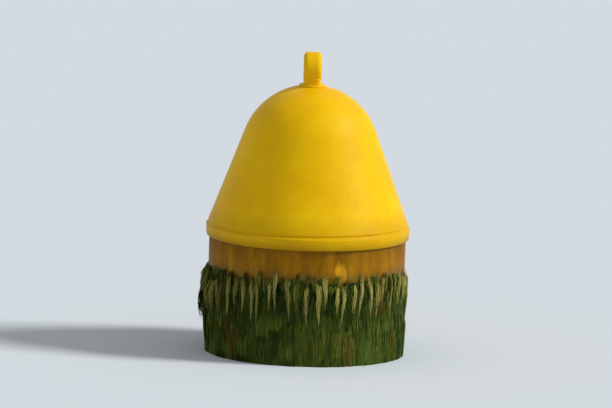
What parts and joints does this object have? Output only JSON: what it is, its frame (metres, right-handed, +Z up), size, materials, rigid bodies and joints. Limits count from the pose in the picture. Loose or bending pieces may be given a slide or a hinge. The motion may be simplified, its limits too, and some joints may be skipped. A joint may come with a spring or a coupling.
{
  "type": "small navigation buoy, conical, with swivel and shackle",
  "caption": "Small conical marker buoy: moulded bell over a moulded float, iron ballast on one central rod, mooring swivel and shackle below, and a lifting lug on top.",
  "frame": {"origin": "on the buoy's axis at the waterline", "axes": "+Z up along the axis towards the lifting lug, +X through the lifting eye, +Y along the shackle's bolt towards its head"},
  "size_m": [0.4107, 0.4009, 1.1258],
  "materials": {
    "bell_plastic": "rotomoulded polyethylene, sun-faded yellow, with a soft sheen",
    "float_plastic": "the same yellow polyethylene, stained brown and slimed",
    "plug_plastic": "moulded black",
    "galvanised_steel": "hot-dip galvanised, dulled, with rust at its edges",
    "forged_steel": "galvanised forging, dulled, with rust where it rubs",
    "ballast_iron": "bare casting, rusted all over",
    "pin_steel": "stainless wire",
    "weed": "wet green weed, paler where it dries"
  },
  "bodies": {
    "buoy": {"bell": "bell_plastic", "lifting_lug": "bell_plastic", "float": "float_plastic", "filler_plug": "plug_plastic", "through_rod": "galvanised_steel", "bottom_plate": "galvanised_steel", "ballast_disc_upper": "ballast_iron", "ballast_disc_lower": "ballast_iron", "ballast_washer": "galvanised_steel", "clamp_nut": "galvanised_steel", "lock_nut": "galvanised_steel", "swivel_nut": "galvanised_steel", "rod_split_pin": "pin_steel", "weed_beard": "weed"},
    "swivel": {"swivel_bow": "forged_steel"},
    "shackle": {"shackle_bow": "forged_steel", "shackle_bolt": "galvanised_steel", "shackle_nut": "galvanised_steel", "bolt_split_pin": "pin_steel"}
  },
  "joints": [
    {"name": "swivel_turn", "type": "hinge", "parent": "buoy", "child": "swivel", "pos_m": [0, 0, -0.375], "axis": [0, 0, 1], "continuous": true},
    {"name": "shackle_swing", "type": "hinge", "parent": "swivel", "child": "shackle", "pos_m": [0, 0, -0.458], "axis": [0, 1, 0], "range_deg": [-110, 110]}
  ]
}
